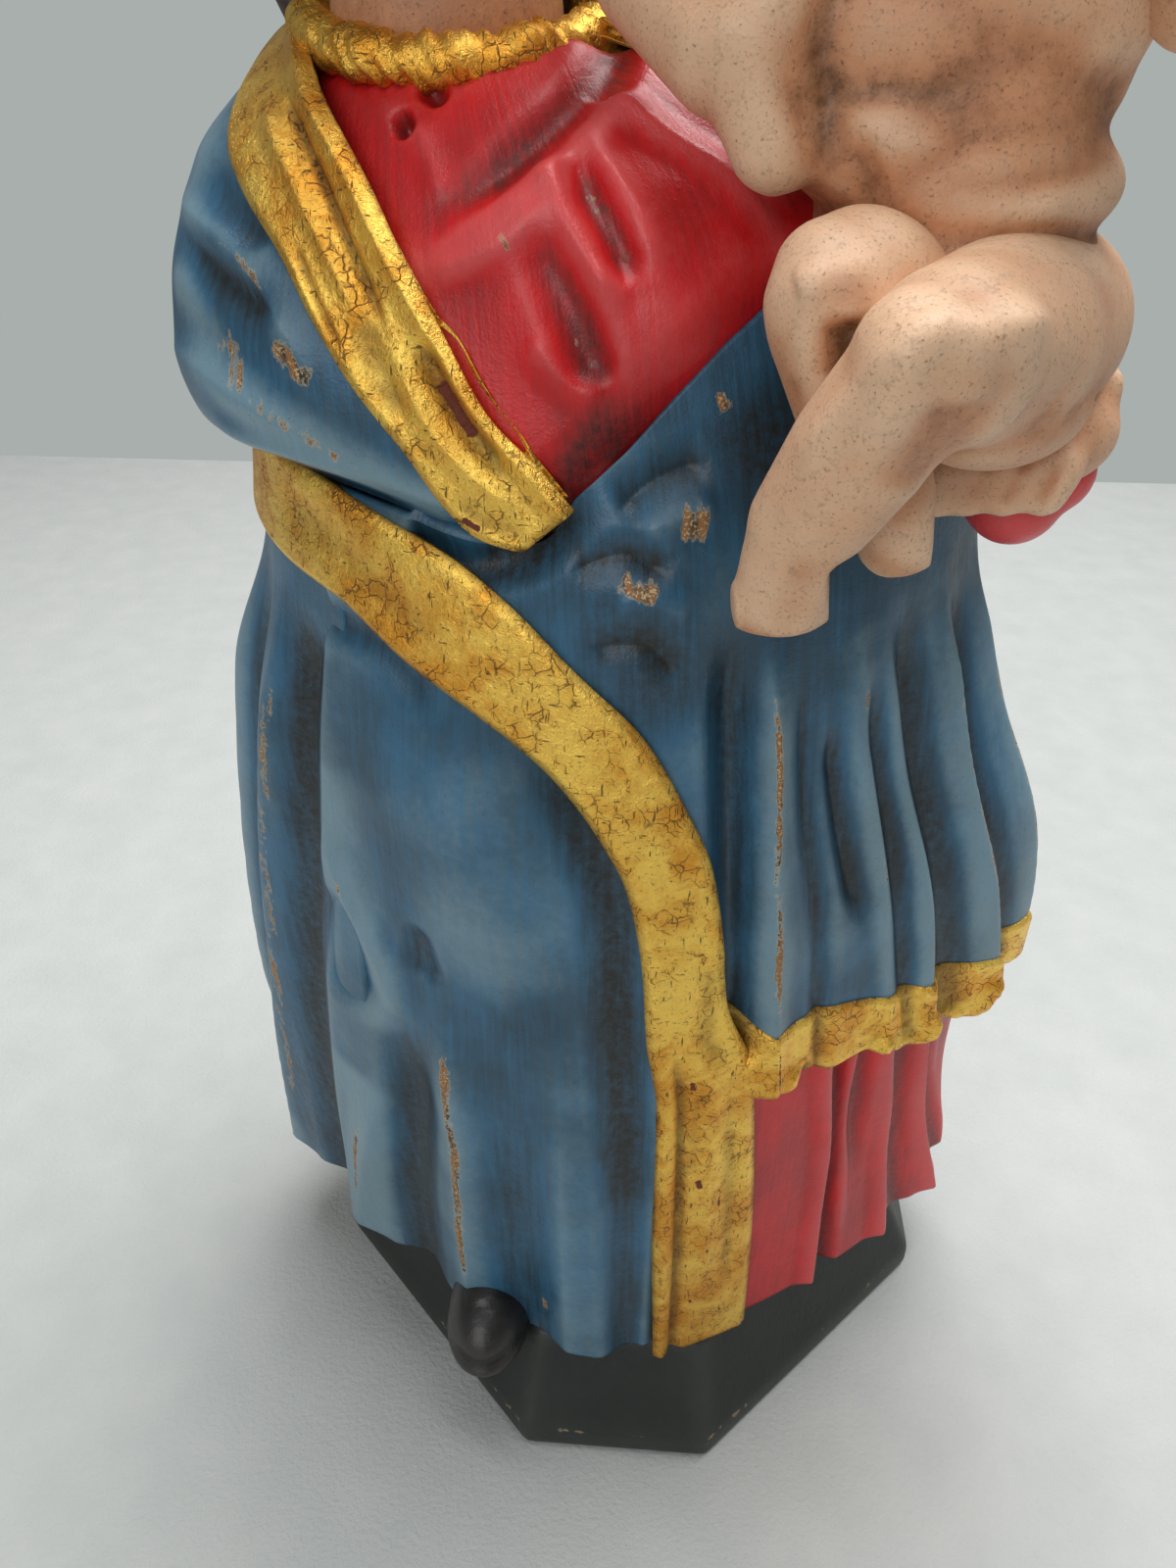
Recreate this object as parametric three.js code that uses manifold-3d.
// Madonna and Child, carved and painted limewood statuette on an eight-sided plinth.
//
// Millimetres, +Z up. The origin is the middle of the plinth's underside and the figure faces -Y.
// The figure's skin is a ring table: every height has a centre, four half-widths and a squareness.
// Garments are shells cut from that skin by bent windows, which are given as edge lines in
// (turn, height): the turn is in degrees about the ring's centre, 0 at the front and + to the
// figure's left hand side.

import * as THREE from "three";
import { mergeVertices } from "three/addons/utils/BufferGeometryUtils.js";
import Module from "manifold-3d";

const wasm = await Module();
wasm.setup();

// ---------------------------------------------------------------- driving dimensions

const GAP = 0.3; // between neighbouring pieces
const CLOTH = 4; // thickness of a garment shell
const ROUND = 32; // facets around the figure

const PLINTH = { width: 130, shortEdge: 36.5, band: 6, height: 26, taper: 0.45 };
const HEM_HEIGHT = 26.3;
const CROWN_HEIGHT = 313;

// height, centre x, centre y, half-width right hand side, left hand side, front, back, squareness
const RINGS = [
  [26.3, -3, -4, 77, 76, 56, 50, 1.35],
  [60, -3, -4, 76, 68.5, 57, 51, 1.45],
  [92, -3, -4, 74, 67, 56, 50, 1.55],
  [120, -3, -4, 71, 66, 54, 48, 1.65],
  [150, -4, -4, 65, 60, 52, 46, 1.75],
  [172, -5, -4, 57, 56, 50, 45, 1.85],
  [190, -6, -3, 53, 54, 48, 43, 1.95],
  [205, -8, -2, 51, 54, 46, 42, 2],
  [219, -10, 0, 46, 53, 43, 40, 2],
  [230, -14, 1, 39, 48, 36, 35, 2],
  [237, -18, 1, 31, 38, 28, 28, 2],
  [241, -22, 1, 23, 27, 21, 21, 2],
  [244, -26, 0, 16, 16, 15, 15, 2],
];
const LEVELS = [26.3, 60, 96, 120, 150, 172, 190, 199, 212, 224, 234, 240, 244];

// Edge lines of the garments, [turn, height].
const BAND_LOW = [[-112, 183], [-84, 181], [-64, 178], [-44, 176], [-30, 170], [-17, 164], [-8, 158],
  [-1, 149], [3, 140], [5, 127], [6, 112], [8, 97], [8, 70], [9, 39], [9.5, 20]];
const BAND_HIGH = [[-112, 191], [-84, 190], [-62, 190], [-46, 189], [-32, 187], [-22, 184.5],
  [-13, 180], [-3, 172], [6, 164], [12, 153], [16, 143], [18, 129], [19, 118], [24, 104], [27, 78],
  [29, 54], [30.5, 20]];
const BORDER_OUTER = [[-96, 237], [-80, 229], [-66, 219], [-47, 212], [-36, 205], [-30, 199],
  [-24, 193], [-17, 188], [-10, 187]];
const BORDER_INNER = [[-80, 241], [-55, 237], [-40, 231], [-32, 225], [-26, 220], [-21, 213],
  [-15, 205], [-8, 198], [-2, 192.5]];
const BODICE_LOW = [[-80, 241], [-55, 237], [-40, 231], [-32, 225], [-26, 220], [-21, 213], [-15, 205], [-8, 198],
  [-2, 192.5], [6, 198], [16, 205], [24, 210], [34, 214], [56, 212]];
const SLEEVE_LOW = [[-150, 194], [-112, 193.5], [-74, 192], [-46, 191], [-32, 189.5], [-24, 187.5],
  [-15, 187]];
const APRON_LOW = [[-44, 189.5], [-32, 187], [-22, 184.5], [-13, 180], [-3, 172], [6, 164],
  [12, 153], [16, 143], [19, 118], [27, 109], [41, 107], [54, 106], [70, 105], [84, 105], [102, 105]];
const APRON_HIGH = [[-44, 190.5], [-32, 189.5], [-24, 187.5], [-14, 186.3], [-8, 187], [-2, 192.5],
  [6, 198], [16, 205], [24, 210], [34, 214], [46, 204], [60, 196], [74, 192], [84, 190], [102, 190]];
const APRON_HEM = { from: 20, to: 102, low: 96, high: 108, overhang: 8 };
const PANEL_LOW = [[-57.7, 177], [-57.7, 168], [-57.7, 155], [-57.7, 140], [-57.7, 120], [-57.7, 95],
  [-57.7, 75], [-57.7, 45], [-57.7, 20]];
const PANEL_HIGH = [[-57, 177.2], [-44, 175.5], [-30, 169.5], [-17, 163.5], [-8.4, 157], [2.5, 139],
  [5.4, 112], [7.4, 84], [8.8, 20]];
const WINDOW = { inner: -12, outer: 16 }; // reach of a cutting window inside and outside the skin
const MANTLE_SPLIT = { right: -58, left: 102 }; // turns where the back of the mantle begins
const SLEEVE_BULGE = [[185, 0], [190, 3], [195, 7.5], [201, 9.3], [211, 9.5], [223, 8], [233, 3],
  [241, 0]];

const NECK = { x: -27, y: -11, radius: 14.5 };
const HEAD = { x: -27, y: -13, z: 281, width: 43, depth: 50, height: 58, turn: 14 };
const CHILD_HEAD = { x: 27, y: -36, z: 279, width: 29, depth: 33, height: 37, turn: -16 };

const FINISH = {
  plinth: { color: 0x18231f, roughness: 0.42, metalness: 0 },
  red: { color: 0xa31726, roughness: 0.45, metalness: 0 },
  blue: { color: 0x24506f, roughness: 0.45, metalness: 0 },
  gold: { color: 0xc49a35, roughness: 0.33, metalness: 0.85 },
  skin: { color: 0xc79c80, roughness: 0.5, metalness: 0 },
  hair: { color: 0x3a2417, roughness: 0.55, metalness: 0 },
  childHair: { color: 0x6b4524, roughness: 0.55, metalness: 0 },
  shoe: { color: 0x1c1817, roughness: 0.4, metalness: 0 },
  wood: { color: 0xb98d5c, roughness: 0.7, metalness: 0 },
  steel: { color: 0x9a9da0, roughness: 0.35, metalness: 1 },
};

// ---------------------------------------------------------------- solids

/** Closes a three.js geometry into a manifold solid that faces outward. */
function solid(geometry) {
  const bare = geometry.clone();
  bare.deleteAttribute("normal");
  bare.deleteAttribute("uv");
  const merged = mergeVertices(bare, 1e-4);
  const position = merged.attributes.position;
  const index = merged.index.array;
  const corner = [new THREE.Vector3(), new THREE.Vector3(), new THREE.Vector3()];
  const faces = [];
  let volume = 0;
  for (let i = 0; i < index.length; i += 3) {
    const [a, b, c] = [index[i], index[i + 1], index[i + 2]];
    if (a === b || b === c || c === a) continue;
    faces.push([a, b, c]);
    [a, b, c].forEach((v, k) => corner[k].fromBufferAttribute(position, v));
    volume += corner[0].dot(corner[1].clone().cross(corner[2]));
  }
  const ordered = volume < 0 ? faces.map(([a, b, c]) => [a, c, b]) : faces;
  return new wasm.Manifold(
    new wasm.Mesh({
      numProp: 3,
      vertProperties: new Float32Array(position.array),
      triVerts: new Uint32Array(ordered.flat()),
    }),
  );
}

/** Adds solids together. */
function joined(...parts) {
  return parts.reduce((sum, part) => sum.add(part));
}

/** Moves every vertex of a geometry with a function of its position. */
function bend(geometry, move) {
  const position = geometry.attributes.position;
  const point = new THREE.Vector3();
  for (let i = 0; i < position.count; i += 1) {
    move(point.fromBufferAttribute(position, i));
    position.setXYZ(i, point.x, point.y, point.z);
  }
  return geometry;
}

/** Turns a manifold solid into a named mesh with its own material. */
function piece(name, body, finish) {
  const mesh = body.getMesh();
  const geometry = new THREE.BufferGeometry();
  geometry.setAttribute("position", new THREE.BufferAttribute(new Float32Array(mesh.vertProperties), 3));
  geometry.setIndex(new THREE.BufferAttribute(new Uint32Array(mesh.triVerts), 1));
  geometry.computeVertexNormals();
  const result = new THREE.Mesh(geometry, new THREE.MeshStandardMaterial(finish));
  result.name = name;
  return result;
}

/** Linear reading of a table whose first column is the key. */
function reading(table, key, column = 1) {
  if (key <= table[0][0]) return table[0][column];
  for (let i = 1; i < table.length; i += 1) {
    const [low, high] = [table[i - 1], table[i]];
    if (key <= high[0]) {
      return THREE.MathUtils.mapLinear(key, low[0], high[0], low[column], high[column]);
    }
  }
  return table[table.length - 1][column];
}

// ---------------------------------------------------------------- the figure's skin

/** Point of the skin at a turn (degrees) and height, moved outward by grow. */
function skin(turn, height, grow = 0) {
  const [x, y, right, left, front, back, power] = [1, 2, 3, 4, 5, 6, 7].map((column) =>
    reading(RINGS, height, column));
  const angle = THREE.MathUtils.degToRad(turn);
  const side = (Math.sin(angle) >= 0 ? left : right) + grow;
  const face = (Math.cos(angle) >= 0 ? front : back) + grow;
  const across = Math.abs(Math.sin(angle) / side) ** power;
  const along = Math.abs(Math.cos(angle) / face) ** power;
  const radius = (across + along) ** (-1 / power);
  return new THREE.Vector3(x + radius * Math.sin(angle), y - radius * Math.cos(angle), height);
}

/** The whole figure from hem to neck, grown by a constant or by a function of turn and height. */
function figure(grow, low = HEM_HEIGHT, high = 244) {
  const growth = typeof grow === "function" ? grow : () => grow;
  const heights = [low, ...LEVELS.filter((z) => z > low + 1 && z < high - 1), high];
  const profile = [new THREE.Vector2(0, low), ...heights.map((z) => new THREE.Vector2(1, z)),
    new THREE.Vector2(0, high)];
  const geometry = new THREE.LatheGeometry(profile, ROUND).rotateX(Math.PI / 2);
  return solid(bend(geometry, (p) => {
    if (Math.hypot(p.x, p.y) < 0.5) {
      p.set(reading(RINGS, p.z, 1), reading(RINGS, p.z, 2), p.z);
      return;
    }
    const turn = THREE.MathUtils.radToDeg(Math.atan2(p.x, -p.y));
    p.copy(skin(turn, p.z, growth(turn, p.z)));
  }));
}

/** A block bent round the skin between two edge lines, used to cut a garment out of a shell. */
function windowBlock(lowEdge, highEdge, widen = 0, across = 1) {
  const [low, high] = [lowEdge, highEdge].map((edge) =>
    new THREE.SplineCurve(edge.map(([turn, height]) => new THREE.Vector2(turn, height))));
  const geometry = new THREE.BoxGeometry(1, 1, 1, lowEdge.length - 1, across, 1);
  return solid(bend(geometry, (p) => {
    const a = low.getPoint(p.x + 0.5);
    const b = high.getPoint(p.x + 0.5);
    const end = Math.abs(p.x) > 0.499 ? Math.sign(p.x) * widen : 0;
    a.addScaledVector(low.getTangent(p.x + 0.5), end);
    b.addScaledVector(high.getTangent(p.x + 0.5), end);
    const step = b.sub(a);
    const side = Math.abs(p.y) > 0.499 ? (Math.sign(p.y) * widen) / Math.max(step.length(), 0.01) : 0;
    const at = a.addScaledVector(step, p.y + 0.5 + side);
    p.copy(skin(at.x, at.y, p.z > 0 ? WINDOW.outer : WINDOW.inner));
  }));
}

/** A block bent round the skin between two turns and two heights. */
function sector(fromTurn, toTurn, low, high, inner = WINDOW.inner, outer = WINDOW.outer) {
  const along = Math.ceil((toTurn - fromTurn) / 12);
  const geometry = new THREE.BoxGeometry(1, 1, 1, along, Math.ceil((high - low) / 45), 1);
  return solid(bend(geometry, (p) => {
    const turn = THREE.MathUtils.lerp(fromTurn, toTurn, p.x + 0.5);
    const height = THREE.MathUtils.lerp(low, high, p.y + 0.5);
    p.copy(skin(turn, height, p.z > 0 ? outer : inner));
  }));
}

/** How far the sleeve stands out over the skin. */
function sleeveGrow(turn, height) {
  const fade = THREE.MathUtils.smoothstep(-turn, 14, 64) * (1 - THREE.MathUtils.smoothstep(-turn, 120, 160));
  return (0.25 + 0.75 * fade) * reading(SLEEVE_BULGE, height) + 0.6;
}

/** How far the apron stands out over the skin; most beside the figure's left leg, at its hem. */
function apronGrow(turn, height) {
  const aside = THREE.MathUtils.smoothstep(turn, 40, 84) * (1 - THREE.MathUtils.smoothstep(turn, 96, 118));
  const down = 1 - THREE.MathUtils.smoothstep(height, 104, 172);
  return (0.8 + (APRON_HEM.overhang - 0.8) * aside) * down;
}

// ---------------------------------------------------------------- limbs and heads

/** A rounded tapering limb through points [x, y, z, radius]. */
function limb(points, grow = 0, facets = 8) {
  const parts = [];
  for (let i = 1; i < points.length; i += 1) {
    const [from, to] = [points[i - 1], points[i]];
    const [start, end] = [from, to].map((p) => new THREE.Vector3(p[0], p[1], p[2]));
    const [r0, r1] = [from[3] + grow, to[3] + grow];
    const length = start.distanceTo(end);
    const profile = [];
    for (const a of [0, Math.PI / 4, Math.PI / 2]) {
      profile.push(new THREE.Vector2(r0 * Math.sin(a), -r0 * Math.cos(a)));
    }
    for (const a of [0, Math.PI / 4, Math.PI / 2]) {
      profile.push(new THREE.Vector2(r1 * Math.cos(a), length + r1 * Math.sin(a)));
    }
    profile[0].x = 0;
    profile[profile.length - 1].x = 0;
    const geometry = new THREE.LatheGeometry(profile, facets);
    const direction = end.clone().sub(start).normalize();
    geometry.applyQuaternion(new THREE.Quaternion().setFromUnitVectors(new THREE.Vector3(0, 1, 0), direction));
    geometry.translate(start.x, start.y, start.z);
    parts.push(solid(geometry));
  }
  return joined(...parts);
}

/** A ball scaled to half-widths, turned about +Z and set down at a centre. */
function ball([x, y, z], [rx, ry, rz], spin = 0, tilt = 0, grow = 0, facets = 14) {
  const geometry = new THREE.SphereGeometry(1, facets, Math.round(facets * 0.7));
  geometry.rotateX(Math.PI / 2);
  geometry.scale(rx + grow, ry + grow, rz + grow);
  geometry.rotateX(tilt);
  geometry.rotateZ(spin);
  geometry.translate(x, y, z);
  return solid(geometry);
}

/** A head of plain proportions: an egg with a narrower jaw, brow line, nose, lips, chin and ears. */
function head({ x, y, z, width, depth, height, turn }, grow = 0) {
  const [w, d, h] = [width / 2 + grow, depth / 2 + grow, height / 2 + grow];
  const skull = new THREE.SphereGeometry(1, 14, 11).rotateX(Math.PI / 2);
  bend(skull, (p) => {
    const jaw = THREE.MathUtils.smoothstep(-p.z, -0.1, 1);
    const face = THREE.MathUtils.smoothstep(-p.y, 0, 0.9);
    const eyes = Math.exp(-(((p.z - 0.02) / 0.16) ** 2)) * Math.exp(-(((Math.abs(p.x) - 0.4) / 0.2) ** 2));
    p.set(p.x * w * (1 - 0.26 * jaw), p.y * d * (1 - 0.06 * face - 0.05 * eyes) - 0.06 * d * jaw * face,
      p.z * h);
  });
  const parts = [solid(skull)];
  if (grow === 0) {
    parts.push(limb([[0, -0.86 * d, 0.02 * h, 0.07 * w], [0, -1.02 * d, -0.26 * h, 0.13 * w]], 0, 6));
    parts.push(limb([[-0.18 * w, -0.78 * d, -0.52 * h, 0.09 * w], [0.18 * w, -0.78 * d, -0.52 * h, 0.09 * w]],
      0, 6));
    parts.push(ball([0, -0.64 * d, -0.78 * h], [0.24 * w, 0.18 * d, 0.15 * h], 0, 0, 0, 8));
  }
  const angle = THREE.MathUtils.degToRad(turn);
  return joined(...parts).rotate([0, 0, turn]).translate([x, y, z]);
}

// ---------------------------------------------------------------- plinth and fixings

/** One storey of the plinth, between two heights and two widths across the flats. */
function octagonStorey(low, high, lowWidth, highWidth) {
  const half = PLINTH.width / 2;
  const edge = PLINTH.shortEdge / 2;
  const shape = new THREE.Shape();
  const corners = [[-edge, -half], [edge, -half], [half, -edge], [half, edge], [edge, half],
    [-edge, half], [-half, edge], [-half, -edge]];
  shape.setFromPoints(corners.map(([x, y]) => new THREE.Vector2(x, y)));
  const geometry = new THREE.ExtrudeGeometry(shape, { depth: high - low, bevelEnabled: false });
  return solid(bend(geometry, (p) => {
    const scale = (p.z > 0 ? highWidth : lowWidth) / PLINTH.width;
    p.set(p.x * scale, p.y * scale, p.z + low);
  }));
}

/** An upright round bar. */
function bar(x, y, low, high, radius, facets = 16) {
  const geometry = new THREE.CylinderGeometry(radius, radius, high - low, facets).rotateX(Math.PI / 2);
  return solid(geometry.translate(x, y, (low + high) / 2));
}

const DOWELS = [[-26, -2], [26, -2]];
const DOWEL = { radius: 4, low: 10, high: 44 };
const SCREW = { x: 0, y: 22, radius: 2, low: 3, high: 46, headRadius: 4.5, headHeight: 3 };

function plinth() {
  const topWidth = PLINTH.width - 2 * PLINTH.taper * (PLINTH.height - PLINTH.band);
  let body = joined(octagonStorey(0, PLINTH.band, PLINTH.width, PLINTH.width),
    octagonStorey(PLINTH.band, PLINTH.height, PLINTH.width, topWidth));
  for (const [x, y] of DOWELS) {
    body = body.subtract(bar(x, y, DOWEL.low - GAP, PLINTH.height + 1, DOWEL.radius + GAP));
  }
  body = body.subtract(bar(SCREW.x, SCREW.y, -1, PLINTH.height + 1, SCREW.radius + GAP));
  return body.subtract(bar(SCREW.x, SCREW.y, -1, SCREW.low + SCREW.headHeight + GAP, SCREW.headRadius + GAP));
}

function screw() {
  const { x, y, radius, low, high, headRadius, headHeight } = SCREW;
  return joined(bar(x, y, low + 1, high, radius), bar(x, y, low, low + headHeight, headRadius));
}

// ---------------------------------------------------------------- garments

const bandBlock = (widen) => windowBlock(BAND_LOW, BAND_HIGH, widen);
const borderBlock = (widen) => windowBlock(BORDER_OUTER, BORDER_INNER, widen);
const openingBlock = (widen) => windowBlock(BORDER_OUTER, BORDER_INNER.map(([turn, z]) => [turn + 32, z + 14]),
  widen);
const above = (edge, height) => edge.map(([turn]) => [turn, height]);
const bodiceBlock = (widen) => windowBlock(BODICE_LOW, above(BODICE_LOW, 250), widen, 3);
const sleeveBlock = (widen) => windowBlock(SLEEVE_LOW, above(SLEEVE_LOW, 240), widen, 3);
const apronBlock = (widen) => windowBlock(APRON_LOW, APRON_HIGH, widen);
const hemBlock = (widen) => sector(APRON_HEM.from - widen, APRON_HEM.to + widen,
  APRON_HEM.low - widen, APRON_HEM.high + widen, -7, 20);
const skirtBlock = (widen) => sector(16 - widen, MANTLE_SPLIT.left + widen, 20, APRON_HEM.low - 0.6 + widen)
  .subtract(bandBlock(GAP - widen));

/** Ring of the neckline, leaning forward with the shoulders. */
function collarRing(grow = 0) {
  const geometry = new THREE.TorusGeometry(1, 0.12, 6, 28);
  return solid(bend(geometry, (p) => {
    const radius = Math.hypot(p.x, p.y);
    const angle = Math.atan2(p.y, p.x);
    const scallop = 0.6 * Math.sin(7 * angle);
    const out = (radius - 1) / 0.12;
    const reach = 18.2 + out * (3 + grow);
    const height = (p.z / 0.12) * (3.2 + grow) + scallop;
    const x = NECK.x + 1.5 + reach * 1.08 * Math.cos(angle);
    const y = NECK.y + 1 + reach * Math.sin(angle);
    p.set(x, y, 238.4 + height + 0.16 * (y - NECK.y) + 0.05 * Math.abs(x - NECK.x));
  }));
}

/** Gold edge of the mantle over the figure's left shoulder. */
const shoulderBlock = (widen) => windowBlock([[44, 240], [52, 236], [57, 231], [60, 227]],
  [[62, 240], [70, 236], [73, 231], [75, 227]], widen);

const collar = collarRing();
const collarSpace = collarRing(GAP);
const neckBar = (grow) => limb([[NECK.x, NECK.y + 3, 226, 11 + grow], [NECK.x, NECK.y, 240, NECK.radius + grow],
  [NECK.x, NECK.y - 1, 262, 13 + grow]], 0, 14);
const core = figure(-CLOTH - GAP);
const shell = figure(0).subtract(figure(-CLOTH));
const clothSpace = figure(4).subtract(figure(-CLOTH - GAP / 2));
const apronShell = figure(apronGrow).subtract(figure(-CLOTH));
const dowelSpace = joined(...DOWELS.map(([x, y]) => bar(x, y, 20, DOWEL.high + GAP, DOWEL.radius + GAP)),
  bar(SCREW.x, SCREW.y, 20, SCREW.high + GAP, SCREW.radius + GAP));
const CHILD_PIN = [[30, -30, 216, 3], [22, -10, 216, 3]];

const mantleBand = figure(1.3).subtract(figure(-CLOTH)).intersect(bandBlock(0));
const sleeveBorder = figure((t, z) => sleeveGrow(t, z) + 0.8).subtract(figure(-CLOTH))
  .intersect(borderBlock(0)).subtract(collarSpace).subtract(neckBar(GAP));
const shoulderBorder = figure(0.9).subtract(figure(-CLOTH)).intersect(shoulderBlock(0))
  .subtract(collarSpace).subtract(neckBar(GAP));
const sleeve = figure(sleeveGrow).subtract(figure(-CLOTH)).intersect(sleeveBlock(-0.15))
  .subtract(joined(borderBlock(GAP), openingBlock(GAP))).subtract(bandBlock(GAP)).subtract(collarSpace)
  .subtract(neckBar(GAP));
const apronHem = figure((t, z) => apronGrow(t, z) + 0.9).subtract(figure(-CLOTH)).intersect(hemBlock(0))
  .subtract(bandBlock(GAP));
const apron = apronShell.intersect(apronBlock(0)).subtract(bandBlock(GAP)).subtract(hemBlock(GAP))
  .subtract(sleeveBlock(0.15)).subtract(bodiceBlock(GAP)).subtract(borderBlock(GAP));
const frontPanel = shell.intersect(windowBlock(PANEL_LOW, PANEL_HIGH, 0, 4));
const backWindow = joined(sector(MANTLE_SPLIT.left - 360 + 0.4, MANTLE_SPLIT.right - 0.4, 20, 241.5),
  sector(48, MANTLE_SPLIT.left + 1, 190.5, 239));
const dress = joined(core, figure(0).intersect(bodiceBlock(0)), figure(0).intersect(skirtBlock(0)))
  .subtract(joined(borderBlock(GAP), shoulderBlock(2 * GAP)).intersect(clothSpace));

const pieces = new THREE.Group();
pieces.name = "madonna_statue";
const put = (name, body, finish) => pieces.add(piece(name, body, FINISH[finish]));

put("plinth", plinth(), "plinth");
DOWELS.forEach(([x, y], i) => put(["plinth_dowel_right", "plinth_dowel_left"][i],
  bar(x, y, DOWEL.low, DOWEL.high, DOWEL.radius), "wood"));
put("plinth_screw", screw(), "steel");

// ---------------------------------------------------------------- mother

const hairLocks = limb([[-43, 2, 266, 9], [-46, 6, 246, 8.5], [-38, 24, 226, 6]], 0, 8)
  .add(limb([[-11, 4, 266, 9], [-8, 10, 246, 8.5], [-12, 26, 226, 6]], 0, 8))
  .add(limb([[-27, 14, 268, 15], [-27, 24, 240, 15]], 0, 8));
const hairCap = ball([HEAD.x, HEAD.y + 5, HEAD.z + 3], [25, 29, 31.5], 0, 0.1, 0, 14);
const faceWindow = ball([HEAD.x + 6, HEAD.y - 29, HEAD.z - 9], [17.5, 24, 29], 0, 0, 0, 12);
const motherHead = head(HEAD).add(neckBar(0)).subtract(figure(-CLOTH - GAP + 0.3 + 0.3)
  .subtract(bar(NECK.x, NECK.y + 4, 200, 260, 4)));
const motherSpace = head(HEAD, GAP).add(neckBar(GAP));
const hair = hairCap.subtract(faceWindow).add(hairLocks).subtract(motherSpace)
  .subtract(ball([HEAD.x, HEAD.y - 22, HEAD.z - 34], [16, 18, 16])).subtract(collarSpace)
  .subtract(figure((t, z) => sleeveGrow(t, z) + GAP));
put("dress", dress.subtract(neckBar(GAP)).subtract(collarSpace).subtract(dowelSpace)
  .subtract(limb(CHILD_PIN, GAP)), "red");
put("mantle_back", shell.intersect(backWindow).subtract(bandBlock(GAP)).subtract(sleeveBlock(0.15))
  .subtract(shoulderBlock(GAP)).subtract(borderBlock(GAP)).subtract(apronBlock(GAP))
  .subtract(bodiceBlock(GAP)).subtract(openingBlock(GAP)).subtract(skirtBlock(GAP)).subtract(collarSpace).subtract(neckBar(GAP))
  .subtract(limb(CHILD_PIN, GAP)), "blue");
put("mantle_front_panel", frontPanel, "blue");
put("mantle_hem_band", mantleBand, "gold");
put("mantle_sleeve", sleeve, "blue");
put("mantle_sleeve_border", sleeveBorder, "gold");
put("mantle_apron", apron, "blue");
put("mantle_apron_hem", apronHem, "gold");
put("mantle_shoulder_border", shoulderBorder, "gold");
put("dress_collar", collar.subtract(neckBar(GAP)), "gold");
put("mother_head", motherHead, "skin");
put("mother_hair", hair, "hair");

const shoe = ball([-26, -52, 27], [8, 13.5, 10.5], 0.25, 0).intersect(sector(-80, 40, 26.3, 60, -30, 30));
put("mother_shoe", shoe.subtract(figure(GAP)), "shoe");

const cuffShape = limb([[44, -36, 191, 8], [53, -20, 191, 10], [56, -6, 194, 11]], 0, 10);
const palm = ball([44, -40, 198], [14, 10, 7], -0.35, -0.15, 0, 10)
  .add(limb([[34, -46, 192, 3.4], [36, -34, 188, 3.6]], 0, 6))
  .add(limb([[40, -46, 191, 3.4], [41, -34, 188, 3.6]], 0, 6))
  .add(limb([[46, -44, 191, 3.4], [46, -34, 188, 3.6]], 0, 6))
  .add(limb([[53, -33, 198, 3.6], [53, -37, 204, 3]], 0, 6));

// ---------------------------------------------------------------- child

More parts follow.
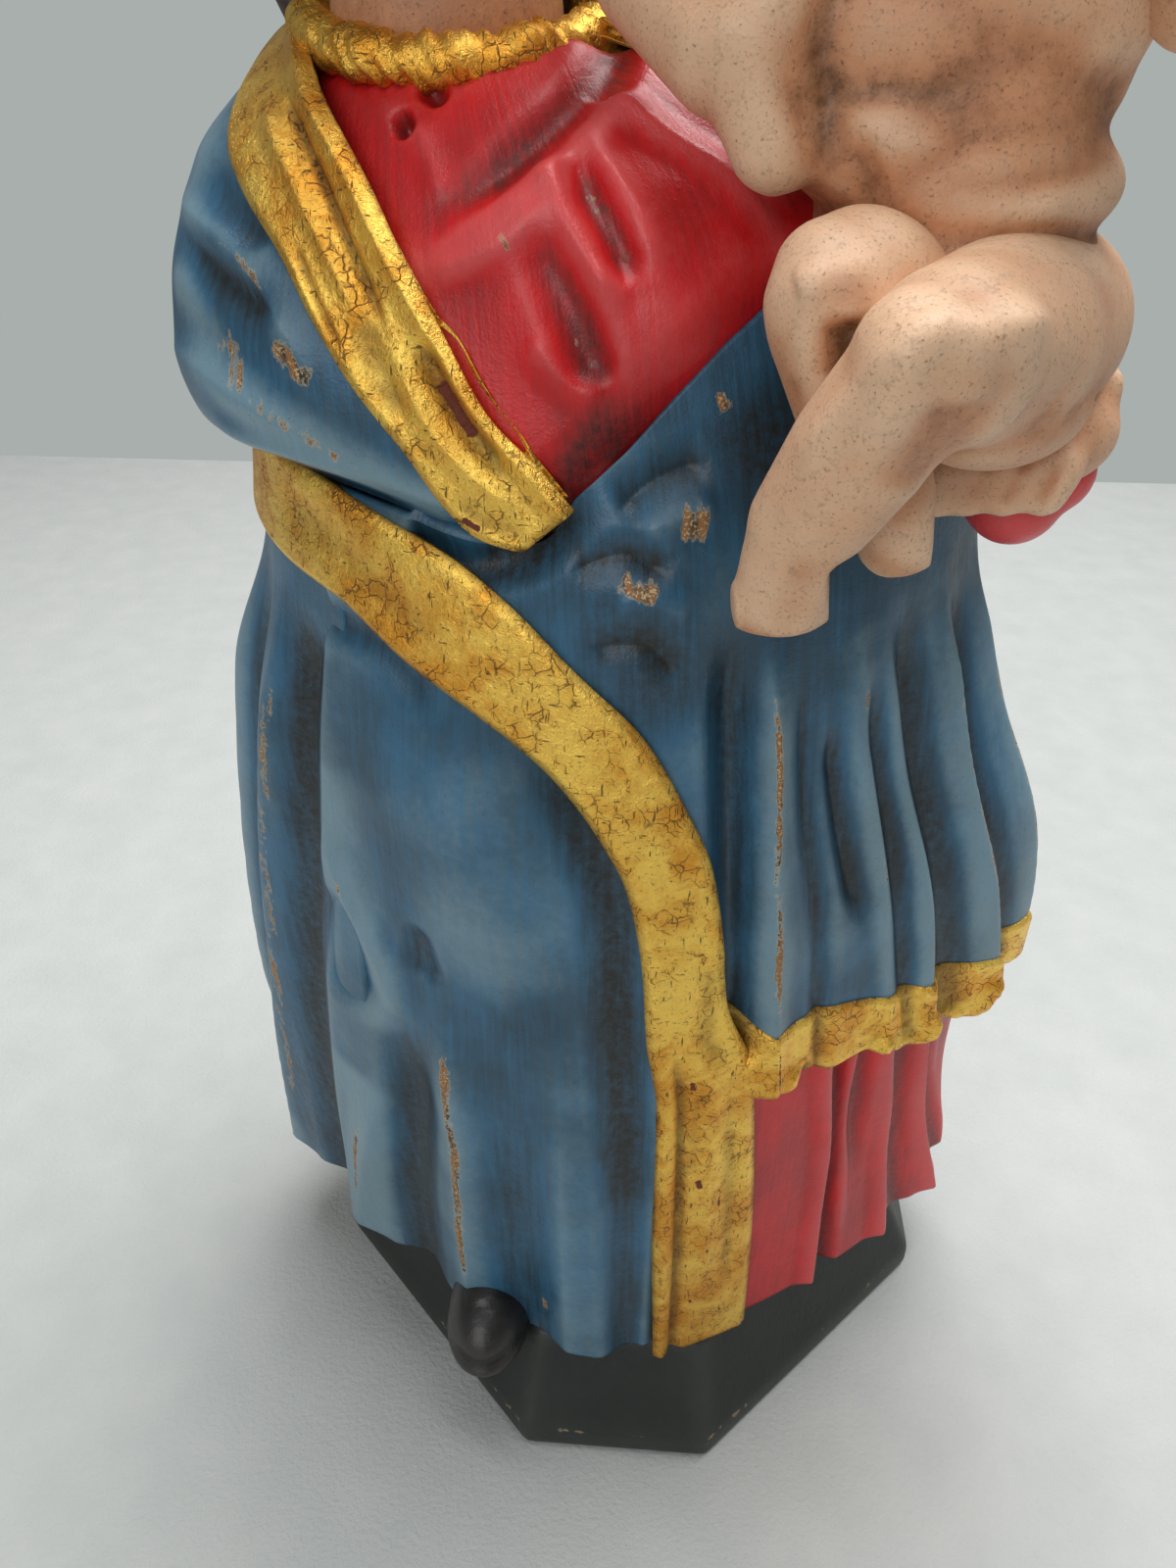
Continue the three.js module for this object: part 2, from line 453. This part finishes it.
const TORSO = [[33, -38, 216, 15.5], [31, -35, 250, 14]];
const RIGHT_LEG = [[27, -42, 212, 8.5], [18.5, -56, 217, 8], [25, -56, 202, 5.6], [29, -55, 193, 4.8]];
const LEFT_LEG = [[46, -35, 210, 11.5], [26, -69, 215, 7], [19, -64, 203, 6], [16, -61, 193, 5]];
const childBody = (grow) => limb(TORSO, grow, 12)
  .add(ball([33, -36, 243], [18, 13.5, 14], 0.1, 0, grow, 12))
  .add(ball([33, -38, 219], [17.5, 15, 13], 0.1, 0, grow, 12))
  .add(limb([[29, -35, 252, 8], [28, -35, 264, 6.5]], grow));
const rightFoot = (grow) => ball([30, -55.5, 189], [4.4 + grow, 4, 7], 0, 0.1, grow, 8);
const leftFoot = (grow) => ball([15.8, -61, 188], [5.2, 4, 8], 0, 0.1, grow, 8);
const rightLeg = (grow) => limb(RIGHT_LEG, grow, 8).add(rightFoot(grow));
const leftLeg = (grow) => limb(LEFT_LEG, grow, 8).add(leftFoot(grow));
const rightArm = (grow) => limb([[17, -36, 253, 6.5], [7, -41, 233, 7], [-3, -31, 246, 5],
  [-7, -25, 251, 4.5]], grow, 8);
const leftArm = (grow) => limb([[46, -34, 253, 6.2], [53, -44, 243, 5.6], [46, -58, 254, 4.4],
  [44, -61, 262, 4]], grow, 8);
const childHead = head(CHILD_HEAD);
const childHeadSpace = head(CHILD_HEAD, GAP);
const childHair = ball([CHILD_HEAD.x - 0.5, CHILD_HEAD.y + 2.5, CHILD_HEAD.z + 2.5], [16.6, 19, 19.5], 0, 0)
  .subtract(ball([CHILD_HEAD.x + 3, CHILD_HEAD.y - 19, CHILD_HEAD.z - 6], [12, 15.5, 18]));
const motherMass = joined(figure((t, z) => apronGrow(t, z) + GAP), collarSpace,
  figure(0.9 + GAP).intersect(shoulderBlock(GAP)));
const handSpace = joined(palm, cuffShape);

put("mother_left_cuff", cuffShape.subtract(palm).subtract(figure(GAP)), "red");
put("mother_left_hand", palm.subtract(figure(GAP)).subtract(childBody(GAP)).subtract(leftLeg(GAP))
  .subtract(rightLeg(GAP)), "skin");
put("child_body", childBody(0).subtract(motherMass).subtract(limb(CHILD_PIN, GAP)), "skin");
put("child_left_leg", leftLeg(0).subtract(childBody(GAP)).subtract(motherMass), "skin");
put("child_right_leg", rightLeg(0).subtract(childBody(GAP)).subtract(leftLeg(GAP)).subtract(motherMass), "skin");
put("child_right_arm", rightArm(0).subtract(childBody(GAP)).subtract(motherMass).subtract(childHeadSpace), "skin");
put("child_left_arm", leftArm(0).subtract(childBody(GAP)).subtract(childHeadSpace), "skin");
put("child_head", childHead.subtract(childBody(GAP)), "skin");
put("child_hair", childHair.subtract(childHeadSpace).subtract(childBody(GAP)), "childHair");
put("child_dowel", limb(CHILD_PIN), "wood");

export default pieces;
